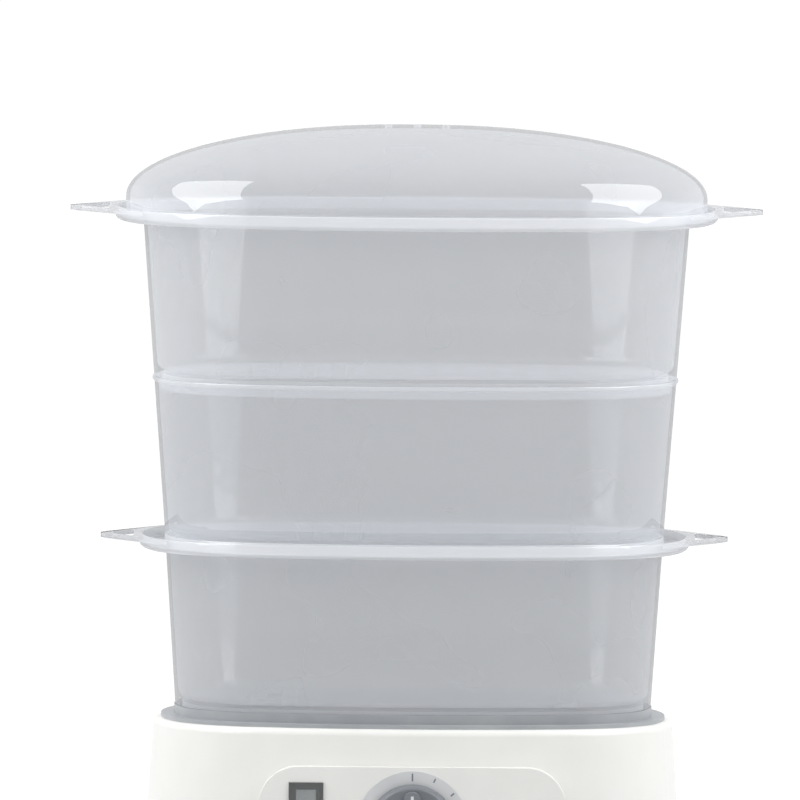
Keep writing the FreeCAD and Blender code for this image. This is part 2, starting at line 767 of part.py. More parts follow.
def make_drip_tray():
    """A tray hung by its flange in the base, with a collar that carries the lower bowl."""
    body = new_body("drip_tray")

    def out(rule):
        return f"dims.half_width + ({rule})"

    wall = "dims.tray_wall"
    inner = f"at.tray_out - {wall}"
    corners = [
        (out("at.tray_out"), "at.tray_under"),
        (out("at.tray_out"), "dims.base_rim_height"),
        (out("dims.base_top_out - dims.shoulder_radius"), "dims.base_rim_height"),
        (out("dims.base_top_out - dims.shoulder_radius"), "at.tray_flange_top"),
        (out("at.tray_out"), "at.tray_flange_top"),
        (out("at.tray_out"), "at.lower_seat"),
        (out(inner), "at.lower_seat"),
        (out(inner), "at.tray_top"),
        (out(f"{inner} - {wall}"), "at.tray_top"),
        (out(f"{inner} - {wall}"), "at.tray_under"),
    ]
    path = oval(body, "path", "0", "at.tray_top")
    sweep(body, "wall", outline(body, "section", "XZ_Plane", corners), path)
    pad(body, "floor", oval(body, "floor_oval", f"{inner} - {wall} / 2", "at.tray_top"), wall, True)

    def opening(name, grow):
        wide = f"(dims.steam_half_width + {grow})"
        deep = f"(dims.steam_half_depth + {grow})"
        radius = f"dims.steam_corner + {grow}"
        return outline(body, name, "XY_Plane", [
            (f"-{wide}", f"-{deep}", radius),
            (wide, f"-{deep}", radius),
            (wide, deep, radius),
            (f"-{wide}", deep, radius),
        ], "at.tray_under")

    pad(body, "steam_lip", opening("lip_outline", wall), f"{wall} + dims.steam_lip")
    pocket(body, "steam_way", opening("way_outline", "0"), f"{wall} + dims.steam_lip", reverse=True)
    return body


def make_turbo_ring():
    """A ring around the heater that turns in at the top, with gates for the water."""
    body = new_body("turbo_ring")
    foot = "dims.tank_floor_height"
    top = f"{foot} + dims.turbo_height"
    inner = "dims.turbo_radius - dims.turbo_wall"
    turned(body, "ring", outline(body, "section", "XZ_Plane", [
        (inner, foot),
        ("dims.turbo_radius", foot),
        ("dims.turbo_radius", f"{top} - dims.turbo_lip"),
        ("dims.turbo_radius - dims.turbo_lip", top),
        ("dims.turbo_radius - dims.turbo_lip - dims.turbo_wall", top),
        (inner, f"{top} - dims.turbo_lip - dims.turbo_wall / 2"),
    ]))
    half = "dims.turbo_gate_width / 2"
    gate = outline(body, "gate_outline", "XZ_Plane", [
        (f"-{half}", foot),
        (half, foot),
        (half, f"{foot} + dims.turbo_gate_height"),
        (f"-{half}", f"{foot} + dims.turbo_gate_height"),
    ])
    cut = pocket(body, "gate", gate, both=True)
    gates = body.newObject("PartDesign::PolarPattern", "gates")
    gates.Originals = [cut]
    gates.Axis = (origin_feature(body, "Z_Axis"), "")
    gates.Angle = 180
    gates.Occurrences = 3
    body.Tip = gates
    return body


def make_heater():
    """The plate in the tank floor with what is fixed to it, its seal and its clamp."""
    plate = new_body("heater_plate")
    face = "at.plate_top"
    turned(plate, "dish", outline(plate, "section", "XZ_Plane", [
        ("0", "at.heater_under"),
        ("dims.heater_body_radius", "at.heater_under"),
        ("dims.heater_body_radius", "at.plate_under"),
        ("at.plate_radius", "at.plate_under"),
        ("at.plate_radius", face),
        ("dims.heater_hole_radius", face),
        ("dims.heater_body_radius", f"{face} - dims.heater_dish"),
        ("0", f"{face} - dims.heater_dish"),
    ]))
    studs = stud_circles(plate, "stud_circles", "at.plate_under", "dims.stud_radius")
    pad(plate, "studs", studs, "dims.stud_length", True)

    def ring(label, inner, outer, top, thickness):
        body = new_body(label)
        sketch = circles(body, "rings", "XY_Plane", [("0", "0")], outer, top)
        draw_circle(sketch, "0", "0", inner)
        pad(body, "ring", sketch, thickness, True)
        holes = stud_circles(body, "stud_holes_circles", top)
        pocket(body, "stud_holes", holes, thickness)
        return body

    hug = "dims.heater_body_radius + dims.clamp_gap"
    seal = ring("heater_seal", hug, "at.plate_radius", "at.plate_under", "dims.seal_thickness")
    clamp = ring("heater_clamp", hug, f"{hug} + dims.clamp_width", "at.tank_floor_under",
                 "dims.clamp_thickness")
    nuts = new_body("clamp_nuts")
    sketch = new_sketch(nuts, "hexagons", "XY_Plane", "at.clamp_under")
    for x, y in STUD_PLACES:
        draw_outline(sketch, [
            (f"{x} + dims.nut_corner * cos({turn} deg)", f"{y} + dims.nut_corner * sin({turn} deg)")
            for turn in range(0, 360, 60)
        ])
        draw_circle(sketch, x, y, "dims.stud_radius")
    pad(nuts, "nuts", sketch, "dims.nut_height", True)

    thermostat = new_body("thermostat")
    turned(thermostat, "case", outline(thermostat, "section", "XZ_Plane", [
        ("0", "at.heater_under - dims.thermostat_height"),
        ("dims.thermostat_radius - dims.thermostat_rim", "at.heater_under - dims.thermostat_height"),
        ("dims.thermostat_radius - dims.thermostat_rim", "at.heater_under - dims.thermostat_rim"),
        ("dims.thermostat_radius", "at.heater_under - dims.thermostat_rim"),
        ("dims.thermostat_radius", "at.heater_under"),
        ("0", "at.heater_under"),
    ]))
    return [plate, seal, clamp, nuts, thermostat, make_element(), make_fuse()]


def make_element():
    """A closed ring of heater tube under the plate with two legs for the wires."""
    ring = doc.addObject("Part::Torus", "element_ring")
    ring.setExpression("Radius1", "dims.element_ring_radius")
    ring.setExpression("Radius2", "dims.element_tube_radius")
    ring.setExpression("Placement.Base.z", "at.heater_under - dims.element_tube_radius")
    legs = []
    for side in (-1, 1):
        leg = doc.addObject("Part::Cylinder", "element_leg")
        leg.setExpression("Radius", "dims.element_leg_radius")
        leg.setExpression("Height", "dims.element_leg_length")
        across = f"{side} * dims.element_ring_radius * dims.element_leg_share"
        leg.setExpression("Placement.Base.x", across)
        along = "dims.element_ring_radius * sqrt(1 - dims.element_leg_share ^ 2)"
        leg.setExpression("Placement.Base.y", along)
        level = "at.heater_under - dims.element_tube_radius - dims.element_leg_length"
        leg.setExpression("Placement.Base.z", level)
        legs.append(leg)
    element = doc.addObject("Part::MultiFuse", "heater_element")
    element.Shapes = [ring, *legs]
    element.Label = "heater_element"
    return element


def make_fuse():
    """A small cylinder that lies under the plate."""
    fuse = doc.addObject("Part::Cylinder", "thermal_fuse")
    fuse.Label = "thermal_fuse"
    fuse.setExpression("Radius", "dims.fuse_radius")
    fuse.setExpression("Height", "2 * dims.fuse_half_length")
    fuse.Placement.Rotation = FreeCAD.Rotation(Vector(0, 1, 0), 90)
    fuse.setExpression("Placement.Base.x", "-dims.fuse_half_length")
    fuse.setExpression("Placement.Base.y", "-dims.fuse_back")
    fuse.setExpression("Placement.Base.z", "at.heater_under - dims.fuse_radius")
    return fuse


def on_panel(label, across="0"):
    """A body turned so that its own +Z points out of the panel, towards -Y."""
    body = new_body(label)
    body.Placement = FreeCAD.Placement(Vector(), FreeCAD.Rotation(Vector(1, 0, 0), 90))
    body.setExpression("Placement.Base.x", across)
    body.setExpression("Placement.Base.z", "dims.panel_centre_height")
    return body


def make_timer():
    case = on_panel("timer_body")
    half = "dims.timer_half"
    pad(case, "case", outline(case, "case_outline", "XY_Plane", [
        (f"-{half}", f"-{half}", "dims.timer_corner"),
        (half, f"-{half}", "dims.timer_corner"),
        (half, half, "dims.timer_corner"),
        (f"-{half}", half, "dims.timer_corner"),
    ], "at.panel_back"), "dims.timer_depth", True)
    bore = circles(case, "bore_circle", "XY_Plane", [("0", "0")],
                   "dims.shaft_radius + dims.shaft_fit", "at.panel_back")
    pocket(case, "bore", bore, "dims.shaft_depth + dims.shaft_fit")
    places = [(f"{side} * dims.timer_screw_spread", "0") for side in (-1, 1)]
    bores = circles(case, "screw_bore_circles", "XY_Plane", places, "dims.timer_screw_radius",
                    "at.panel_back")
    pocket(case, "screw_bores", bores, "dims.timer_screw_length")

    shaft = on_panel("timer_shaft")
    rod = circles(shaft, "rod_circle", "XY_Plane", [("0", "0")], "dims.shaft_radius", "at.shaft_start")
    pad(shaft, "rod", rod, "at.shaft_end - at.shaft_start")

    knob = on_panel("timer_knob")
    rim = "dims.knob_radius - dims.knob_wall"
    turned(knob, "disc", outline(knob, "section", "XZ_Plane", [
        ("dims.shaft_radius", "at.knob_back"),
        ("dims.knob_boss_radius", "at.knob_back"),
        ("dims.knob_boss_radius", "at.shaft_end"),
        (rim, "at.shaft_end"),
        (rim, "at.knob_back"),
        ("dims.knob_radius", "at.knob_back"),
        ("dims.knob_radius - dims.knob_taper", "at.knob_face", "dims.knob_edge"),
        ("0", "at.knob_face"),
        ("0", "at.shaft_end"),
        ("dims.shaft_radius", "at.shaft_end"),
    ]))
    half = "dims.grip_width / 2"
    reach = "dims.knob_radius - dims.knob_taper - dims.knob_edge"
    pad(knob, "grip", outline(knob, "grip_outline", "XY_Plane", [
        (f"-{half}", f"-({reach})", "dims.grip_end"),
        (half, f"-({reach})", "dims.grip_end"),
        (half, reach, "dims.grip_end"),
        (f"-{half}", reach, "dims.grip_end"),
    ], "at.knob_face"), "dims.grip_height")

    dial = on_panel("dial_ring")
    rings = circles(dial, "rings", "XY_Plane", [("0", "0")], "dims.dial_radius", "at.panel_face")
    draw_circle(rings, "0", "0", "dims.dial_hole_radius")
    pad(dial, "ring", rings, "dims.dial_thickness")

    screws = on_panel("timer_screws")
    screws.AllowCompound = True
    heads = circles(screws, "head_circles", "XY_Plane", places, "dims.timer_head_radius", "at.panel_face")
    pad(screws, "heads", heads, "dims.timer_head_height")
    shanks = circles(screws, "shank_circles", "XY_Plane", places, "dims.timer_screw_radius",
                     "at.panel_face")
    pad(screws, "shanks", shanks, "dims.panel_wall + dims.timer_screw_length", True)
    return [case, shaft, knob, dial, screws]


def make_lamp():
    lens = on_panel("lamp_lens", "dims.lamp_side")
    stem = "dims.lens_radius - dims.lens_clearance"
    bore = "dims.lamp_radius + dims.lens_clearance"
    rim_top = "at.panel_face + dims.lens_rim_height"
    turned(lens, "lens", outline(lens, "section", "XZ_Plane", [
        (bore, "at.panel_back"),
        (stem, "at.panel_back"),
        (stem, "at.panel_face"),
        ("dims.lens_radius + dims.lens_rim", "at.panel_face"),
        ("dims.lens_radius + dims.lens_rim", rim_top),
        ("dims.lens_radius", f"{rim_top} + dims.lens_dome", "dims.lens_round"),
        ("0", f"{rim_top} + dims.lens_dome"),
        ("0", rim_top),
        (bore, rim_top),
    ]))
    bulb = on_panel("pilot_lamp", "dims.lamp_side")
    tip = "at.panel_face"
    turned(bulb, "bulb", outline(bulb, "section", "XZ_Plane", [
        ("0", f"{tip} - dims.lamp_length"),
        ("dims.lamp_radius", f"{tip} - dims.lamp_length"),
        ("dims.lamp_radius", tip, "dims.lamp_round"),
        ("0", tip),
    ]))
    return [lens, bulb]


def make_gauge():
    """The window with its chamber, the chamber's back with a pipe to the tank, the float."""
    side = "-dims.gauge_side"

    def plate(body, name, wide, high, shift):
        return outline(body, name, "XY_Plane", [
            (f"-({wide})", f"-({high})"),
            (wide, f"-({high})"),
            (wide, high),
            (f"-({wide})", high),
        ], shift)

    window = on_panel("level_window", side)
    wide = "dims.gauge_half_width - dims.gauge_clearance"
    high = "dims.gauge_half_height - dims.gauge_clearance"
    rim = plate(window, "rim_outline", "dims.gauge_half_width + dims.gauge_rim",
                "dims.gauge_half_height + dims.gauge_rim", "at.panel_face")
    pad(window, "rim", rim, "dims.gauge_rim_height")
    chamber = plate(window, "chamber_outline", wide, high, "at.panel_face")
    pad(window, "chamber", chamber, "at.panel_face - at.gauge_back", True)
    inside = plate(window, "inside_outline", "at.gauge_inner_half", "at.gauge_inner_high", "at.gauge_back")
    pocket(window, "inside", inside, "at.gauge_front - at.gauge_back", reverse=True)

    back = on_panel("gauge_back", side)
    pad(back, "plate", plate(back, "plate_outline", wide, high, "at.gauge_back"), "dims.gauge_wall", True)
    level = "at.link_height - dims.panel_centre_height"
    pipe_radius = "dims.link_radius - dims.link_clearance"
    tank_front = "dims.half_depth - dims.tank_in - dims.tank_draft"
    reach = f"at.gauge_back - ({tank_front}) + dims.link_past_wall"
    pipe = circles(back, "pipe_circle", "XY_Plane", [("0", level)], pipe_radius, "at.gauge_back")
    pad(back, "pipe", pipe, reach, True)
    bore = circles(back, "pipe_bore_circle", "XY_Plane", [("0", level)],
                   "dims.link_radius - dims.link_wall", "at.gauge_back")
    pocket(back, "pipe_bore", bore, reach)

    marker = on_panel("level_float", side)
    drop = "-at.gauge_inner_high"
    inner = "at.gauge_inner_half - dims.float_clearance"
    block = outline(marker, "float_outline", "XY_Plane", [
        (f"-({inner})", drop),
        (inner, drop),
        (inner, f"{drop} + dims.float_height"),
        (f"-({inner})", f"{drop} + dims.float_height"),
    ], "at.gauge_back + dims.float_clearance")
    pad(marker, "float", block, "at.gauge_front - at.gauge_back - 2 * dims.float_clearance")
    return [window, back, marker]


def make_underside():
    cover = new_body("bottom_cover")
    edge = "dims.base_bottom_out - dims.shell_wall - dims.cover_clearance"
    pad(cover, "plate", oval(cover, "plate_oval", edge, "dims.foot_height"), "dims.cover_thickness")
    corners = [(x, y) for x in (-1, 1) for y in (-1, 1)]
    posts = [(f"{x} * dims.post_x", f"{y} * dims.post_y") for x, y in corners]
    holes = circles(cover, "screw_circles", "XY_Plane", posts,
                    "dims.screw_radius + dims.screw_clearance", "at.cover_top")
    pocket(cover, "screw_holes", holes, "dims.cover_thickness")
    pads = [(f"{x} * dims.foot_x", f"{y} * dims.foot_y") for x, y in corners]
    sockets = circles(cover, "foot_circles", "XY_Plane", pads, "dims.foot_stem_radius", "at.cover_top")
    pocket(cover, "foot_holes", sockets, "dims.cover_thickness")
    half = "dims.vent_slot_length / 2"
    vents = new_sketch(cover, "vent_outline", "XY_Plane", "at.cover_top")
    for step in (-2, -1, 0, 1, 2):
        middle = f"{step} * dims.vent_slot_pitch"
        draw_outline(vents, [
            (f"-{half}", f"{middle} - dims.vent_slot_width / 2"),
            (half, f"{middle} - dims.vent_slot_width / 2"),
            (half, f"{middle} + dims.vent_slot_width / 2"),
            (f"-{half}", f"{middle} + dims.vent_slot_width / 2"),
        ])
    pocket(cover, "vents", vents, "dims.cover_thickness")

    screws = new_body("cover_screws")
    screws.AllowCompound = True
    heads = circles(screws, "head_circles", "XY_Plane", posts, "dims.screw_head_radius",
                    "dims.foot_height")
    pad(screws, "heads", heads, "dims.screw_head_height", True)
    shanks = circles(screws, "shank_circles", "XY_Plane", posts, "dims.screw_radius",
                     "dims.foot_height - dims.screw_head_height")
    pad(screws, "shanks", shanks, "dims.screw_head_height + dims.screw_length")

    feet = new_body("feet")
    feet.AllowCompound = True
    pad(feet, "pads", circles(feet, "pad_circles", "XY_Plane", pads, "dims.foot_radius"),
        "dims.foot_height")
    stems = circles(feet, "stem_circles", "XY_Plane", pads, "dims.foot_stem_radius", "dims.foot_height")
    pad(feet, "stems", stems, "dims.cover_thickness + dims.foot_stem_out")

    block = doc.addObject("Part::Box", "terminal_block")
    block.Label = "terminal_block"
    block.setExpression("Length", "2 * dims.block_half_width")
    block.setExpression("Width", "dims.block_depth")
    block.setExpression("Height", "dims.block_height")
    block.setExpression("Placement.Base.x", "-dims.block_half_width")
    block.setExpression("Placement.Base.y", "dims.block_back")
    block.setExpression("Placement.Base.z", "at.cover_top")
    return [cover, screws, feet, block]


def make_cord_inlet():
    """A grommet in the rear wall: two flanges, a neck between them and a bore."""
    body = new_body("cord_inlet")
    body.Placement = FreeCAD.Placement(Vector(), FreeCAD.Rotation(Vector(1, 0, 0), -90))
    body.setExpression("Placement.Base.z", "dims.inlet_height")
    slope = "(dims.base_bottom_out - dims.base_top_out) / (dims.base_rim_height - dims.foot_height)"
    wide = "dims.inlet_radius + dims.inlet_flange"
    above_foot = "dims.inlet_height - dims.foot_height"
    outside = f"at.rear_wall - {slope} * ({above_foot} - ({wide}))"
    inside = f"at.rear_wall - {slope} * ({above_foot} + {wide}) - dims.shell_wall"
    turned(body, "grommet", outline(body, "section", "XZ_Plane", [
        ("dims.inlet_bore", f"{inside} - dims.inlet_flange_thickness"),
        (wide, f"{inside} - dims.inlet_flange_thickness"),
        (wide, inside),
        ("dims.inlet_radius", inside),
        ("dims.inlet_radius", outside),
        (wide, outside),
        (wide, f"{outside} + dims.inlet_flange_thickness"),
        ("dims.inlet_bore", f"{outside} + dims.inlet_flange_thickness"),
    ]))
    return body


pieces = [
    make_bowl("lower_bowl", "at.lower_seat", "at.lower_rim", "-dims.lower_seat_in", "0",
              "at.tray_out", "dims.lower_floor_rise", "dims.lower_gutter", "dims.handle_reach_lower"),
    make_bowl("middle_bowl", "at.lower_rim", "at.middle_rim", "0", "dims.middle_rim_out",
              "0", "dims.middle_floor_rise"),
    make_bowl("upper_bowl", "at.middle_rim", "at.upper_rim", "dims.middle_rim_out",
              "dims.upper_rim_out", "dims.middle_rim_out", "dims.upper_floor_rise",
              "dims.upper_gutter", "dims.handle_reach_upper"),
    make_lid(),
    make_drip_tray(),
    make_base_shell(),
    make_water_tank(),
    make_turbo_ring(),
    *make_heater(),
    *make_timer(),
    *make_lamp(),
    *make_gauge(),
    *make_underside(),
    make_cord_inlet(),
]
doc.recompute()

failed = [item.Name for item in doc.Objects if {"Invalid", "Error"} & set(item.State)]
for piece in pieces:
    shape = piece.Shape
    if shape.isNull() or not shape.isValid() or shape.Volume <= 0:
        failed.append(piece.Label)
if failed:
    raise SystemExit(f"failed: {failed}")

os.makedirs("parts", exist_ok=True)
for piece in pieces:
    piece.Shape.exportStep(f"parts/{piece.Label}.step")
    print(piece.Label, len(piece.Shape.Solids), round(piece.Shape.Volume))
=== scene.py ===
import json
import math
import bpy
from mathutils import Matrix, Vector


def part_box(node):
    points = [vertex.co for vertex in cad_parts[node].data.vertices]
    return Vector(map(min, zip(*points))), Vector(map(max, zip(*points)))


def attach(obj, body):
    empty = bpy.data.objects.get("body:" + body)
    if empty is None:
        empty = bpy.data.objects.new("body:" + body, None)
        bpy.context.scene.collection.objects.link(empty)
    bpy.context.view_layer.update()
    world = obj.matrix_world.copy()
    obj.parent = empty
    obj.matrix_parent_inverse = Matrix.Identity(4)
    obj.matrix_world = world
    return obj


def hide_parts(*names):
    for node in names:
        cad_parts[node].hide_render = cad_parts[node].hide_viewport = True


# The looks of an electric food steamer: a milky lid and three milky bowls over a
# drip tray and a white base with a timer knob. Metres, +Z up, front towards -Y.

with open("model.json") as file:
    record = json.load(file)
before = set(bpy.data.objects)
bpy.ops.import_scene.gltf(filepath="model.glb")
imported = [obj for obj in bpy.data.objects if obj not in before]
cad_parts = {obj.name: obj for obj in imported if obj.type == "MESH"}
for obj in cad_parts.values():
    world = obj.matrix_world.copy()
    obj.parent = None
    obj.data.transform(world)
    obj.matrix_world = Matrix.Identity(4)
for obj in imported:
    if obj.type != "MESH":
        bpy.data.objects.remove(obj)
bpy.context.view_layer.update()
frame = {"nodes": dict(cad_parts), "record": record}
MM = 0.001

# the oval in plan, at the outer wall of the lower bowl's rim
HALF_WIDTH = 137.1 * MM
HALF_DEPTH = 91.0 * MM
FRONT_RADIUS = 380.0 * MM
SIDE_RADIUS = 140.0 * MM
CORNER_RADIUS = 62.0 * MM
OVAL_STEP = 5.0 * MM
OVAL_TURN = math.radians(3.2)

# walls and rims of the bowls
WALL = 2.0 * MM
FLOOR = 1.6 * MM
FLOOR_CORNER = 4.0 * MM
NEST_DEPTH = 6.9 * MM
NEST_CLEARANCE = 0.5 * MM
NEST_DRAFT = 0.4 * MM
GUTTER_DEPTH = 8.3 * MM
GUTTER_RISE = 1.2 * MM
GUTTER_CORNER = 3.6 * MM
EDGE_ROUND = 0.45 * MM
BEAD = 1.0 * MM
BEAD_HEIGHT = 1.6 * MM

# ears with finger holes
EAR_PLATE = 2.5 * MM
EAR_TIP_HALF = 8.0 * MM
EAR_SPLAY = 1.65
EAR_CORNER = 10.0 * MM
EAR_BAR = 6.5 * MM
EAR_HOLE_GAP = 3.0 * MM
EAR_HOLE_CORNER = 3.0 * MM
EAR_EDGE = 0.7 * MM
EAR_STEP = 0.15 * MM

# drain slots in the floors
SLOT_LENGTH = 9.0 * MM
SLOT_WIDTH = 3.2 * MM
SLOT_PITCH_X = 17.0 * MM
SLOT_PITCH_Y = 14.0 * MM
SLOT_COLUMNS = 11
SLOT_ROWS = 8

# lid
LID_OUT = 22.7 * MM
LID_WALL = 2.2 * MM
LID_COLLAR = 10.7 * MM
LID_POWER = 2.1
LID_RINGS = 26
VENT_RADIUS = 2.0 * MM
VENT_PITCH = 16.0 * MM
VENT_BACK = 26.0 * MM

# printed strokes of the dial, the knob and the gauge
DIAL_STROKES = 13
DIAL_SWEEP = math.radians(300)
DIAL_MARGIN = 1.2 * MM
STROKE_LONG = 4.2 * MM
STROKE_SHORT = 2.4 * MM
STROKE_WIDTH = 0.8 * MM
STROKE_PROUD = 0.06 * MM
POINTER_LENGTH = 9.0 * MM
POINTER_MARGIN = 5.5 * MM
GAUGE_LEVELS = (0.3, 0.78)

# milky polypropylene: how much a face scatters, and how much its skin mirrors
THIN_HAZE = 0.25
# the thick haze is a lighter copy of the milky look: partly denser plastic, partly painted glow on rims
# and nest rings
THICK_HAZE_WITH_PAINTED_GLOW = 0.45
HAZE_SPREAD = 0.01
CLOUD = 60.0 * MM
PLASTIC_IOR = 1.49
MIRROR_HEAD_ON = 0.075
MIRROR_ALONG = 0.3

# white surroundings, as bright as the eye sees them, with painted shade: room and floor are drawn darker
# where seen through milky walls
FLOOR_SIZE = 60.0
FLOOR_GLOW = 1.6
FLOOR_GLOW_SHARE = 0.6
ROOM_WHITE = 1.0
ROOM_SHADE_PAINTED_BEHIND_WALLS = 0.15
ROOM_LIGHT = 0.3
WALL_FACES = 48

# two soft boxes, left and right: azimuth and elevation of where each stands and of how it faces
LAMP_CENTRE = Vector((0, 0, 0.35))
LAMP_STANDS = (74.4, 43.4)
LAMP_FACES = (81.5, 19.9)
LAMP_ROLL = -40.9
LAMP_DISTANCE = 1.52
LAMP_SIZE = (1.33, 2.06)
LAMP_RADIANCE = 3.9

# the photograph's view
VIEW_DISTANCE = 11.0
VIEW_LENS = 900.0
VIEW_ELEVATION = math.radians(3.45)
VIEW_ROLL = math.radians(0.45)
VIEW_AIM = Vector((-0.0084, 0.0, 0.2856))


def srgb(hex_colour):
    """A hex colour as the linear RGBA that a shader takes."""
    channels = [int(hex_colour[i:i + 2], 16) / 255 for i in (1, 3, 5)]
    return [c / 12.92 if c <= 0.04045 else ((c + 0.055) / 1.055) ** 2.4 for c in channels] + [1.0]


def add_node(tree, kind, values=None, links=None, **settings):
    """Adds a node, sets its properties and sockets, and links its inputs."""
    node = tree.nodes.new(kind)
    for name, value in settings.items():
        setattr(node, name, value)
    for socket, value in (values or {}).items():
        node.inputs[socket].default_value = value
    for socket, source in (links or {}).items():
        tree.links.new(source, node.inputs[socket])
    return node


def new_material(name):
    """An empty node material with its output and Object coordinates."""
    material = bpy.data.materials.new(name)
    material.use_nodes = True
    tree = material.node_tree
    tree.nodes.clear()
    output = add_node(tree, "ShaderNodeOutputMaterial")
    place = add_node(tree, "ShaderNodeTexCoord").outputs["Object"]
    return material, tree, output, place


def milky_polypropylene(name, haze):
    """Natural polypropylene: a hazy wall that shows what is behind it, with a gloss skin."""
    material, tree, output, place = new_material(name)
    cloud = add_node(tree, "ShaderNodeTexNoise", {"Scale": 1 / CLOUD, "Detail": 1.0},
                     {"Vector": place})
    tint = add_node(tree, "ShaderNodeValToRGB", links={"Fac": cloud.outputs["Fac"]})
    tint.color_ramp.elements[0].position = 0.3
    tint.color_ramp.elements[0].color = srgb("#FAFBFD")
    tint.color_ramp.elements[1].position = 0.7
    tint.color_ramp.elements[1].color = srgb("#FCFCFE")
    density = add_node(tree, "ShaderNodeMapRange", {
        "To Min": haze - HAZE_SPREAD, "To Max": haze + HAZE_SPREAD}, {"Value": cloud.outputs["Fac"]})
    near = add_node(tree, "ShaderNodeBsdfDiffuse", links={"Color": tint.outputs["Color"]})
    through = add_node(tree, "ShaderNodeBsdfTranslucent", links={"Color": tint.outputs["Color"]})
    scatter = add_node(tree, "ShaderNodeMixShader", {"Fac": 0.5},
                       {1: near.outputs[0], 2: through.outputs[0]})
    clear = add_node(tree, "ShaderNodeBsdfTransparent", {"Color": srgb("#FAFBFC")})
    body = add_node(tree, "ShaderNodeMixShader", links={
        "Fac": density.outputs["Result"], 1: clear.outputs[0], 2: scatter.outputs[0]})
    skin = add_node(tree, "ShaderNodeBsdfAnisotropic", {"Roughness": 0.05, "Color": (1, 1, 1, 1)})
    # head on, a wall mirrors with both its faces; along its skin the moulding is never a full mirror
    fresnel = add_node(tree, "ShaderNodeFresnel", {"IOR": PLASTIC_IOR})
    mirror = add_node(tree, "ShaderNodeMapRange", {
        "From Min": 0.04, "To Min": MIRROR_HEAD_ON, "To Max": MIRROR_ALONG}, {"Value": fresnel.outputs[0]})
    inside = add_node(tree, "ShaderNodeNewGeometry")
    outside = add_node(tree, "ShaderNodeMapRange", {"To Min": 1.0, "To Max": 0.0},
                       {"Value": inside.outputs["Backfacing"]})
    share = add_node(tree, "ShaderNodeMath", links={0: mirror.outputs[0], 1: outside.outputs[0]},
                     operation="MULTIPLY")
    surface = add_node(tree, "ShaderNodeMixShader", links={
        "Fac": share.outputs[0], 1: body.outputs[0], 2: skin.outputs[0]})
    tree.links.new(surface.outputs[0], output.inputs["Surface"])
    return material


def solid_finish(name, low, high, roughness, cloud=20.0, grain=0.25, bump=0.15, **sockets):
    """A solid finish whose colour and gloss wander, with a fine grain on its skin."""
    material, tree, output, place = new_material(name)
    speck = add_node(tree, "ShaderNodeTexNoise", {"Scale": 1 / (grain * MM), "Detail": 2.0},
                     {"Vector": place})
    wander = add_node(tree, "ShaderNodeTexNoise", {"Scale": 1 / (cloud * MM), "Detail": 2.0},
                      {"Vector": place})
    tint = add_node(tree, "ShaderNodeValToRGB", links={"Fac": wander.outputs["Fac"]})
    tint.color_ramp.elements[0].position = 0.35
    tint.color_ramp.elements[0].color = srgb(low)
    tint.color_ramp.elements[1].position = 0.65
    tint.color_ramp.elements[1].color = srgb(high)
    gloss = add_node(tree, "ShaderNodeMapRange", {
        "To Min": roughness - 0.05, "To Max": roughness + 0.05,
    }, {"Value": wander.outputs["Fac"]})
    skin = add_node(tree, "ShaderNodeBump", {"Strength": bump, "Distance": 0.05 * MM},
                    {"Height": speck.outputs["Fac"]})
    values = {name.replace("_", " ").title(): value for name, value in sockets.items()}
    shader = add_node(tree, "ShaderNodeBsdfPrincipled", {"IOR": 1.5, **values}, {
        "Base Color": tint.outputs["Color"],
        "Roughness": gloss.outputs["Result"],
        "Normal": skin.outputs["Normal"],
    })
    tree.links.new(shader.outputs["BSDF"], output.inputs["Surface"])
    return material


def oval_stations():
    """Points of the oval with their outward normals, dense where it turns.

    Eight tangent arcs: front and back, the two sides and four corners, whose
    centre lies where its distances to the other two centres are known.
    """
    front_centre = Vector((0, FRONT_RADIUS - HALF_DEPTH))
    side_centre = Vector((SIDE_RADIUS - HALF_WIDTH, 0))
    to_front = FRONT_RADIUS - CORNER_RADIUS
    to_side = SIDE_RADIUS - CORNER_RADIUS
    between = side_centre - front_centre
    apart = between.length
    along = (to_front**2 - to_side**2 + apart**2) / (2 * apart)
    across = math.sqrt(to_front**2 - along**2)
    way = between / apart
    corner_centre = front_centre + way * along + Vector((way.y, -way.x)) * across
    if corner_centre.x > 0:
        corner_centre = front_centre + way * along - Vector((way.y, -way.x)) * across
    front_turn = math.atan2(-corner_centre.x, front_centre.y - corner_centre.y)
    side_turn = math.atan2(side_centre.x - corner_centre.x, -corner_centre.y)
    arcs = [
        (front_centre, FRONT_RADIUS, 0.0, front_turn),
        (corner_centre, CORNER_RADIUS, front_turn, side_turn),
        (side_centre, SIDE_RADIUS, side_turn, math.pi / 2),
    ]
    quarter = []
    for centre, radius, start, end in arcs:
        steps = max(math.ceil((end - start) * radius / OVAL_STEP), math.ceil((end - start) / OVAL_TURN))
        for step in range(steps):
            turn = start + (end - start) * step / steps
            normal = Vector((-math.sin(turn), -math.cos(turn)))
            quarter.append((centre + normal * radius, normal))
    side = (Vector((-HALF_WIDTH, 0)), Vector((-1, 0)))
    front_left = quarter + [side]
    back_left = [(Vector((p.x, -p.y)), Vector((n.x, -n.y))) for p, n in reversed(quarter)]
    left = front_left + back_left
    right = [(Vector((-p.x, p.y)), Vector((-n.x, n.y))) for p, n in reversed(left[1:-1])]
    return left + right


OVAL = oval_stations()


def deselect_all():
    """Clears the selection, which a new primitive or an operator would otherwise share."""
    bpy.ops.object.select_all(action="DESELECT")


def only(piece):
    """Makes one object the selected and active one."""
    deselect_all()
    piece.select_set(True)
    bpy.context.view_layer.objects.active = piece


def place_ring(piece, outset, height, scale=1.0):
    """Puts the selected ring of vertices on the oval, pushed out and then scaled."""
    ring = [vertex for vertex in piece.data.vertices if vertex.select]
    for vertex, (point, normal) in zip(ring, OVAL):
        flat = (point + normal * outset) * scale
        vertex.co = (flat.x, flat.y, height)


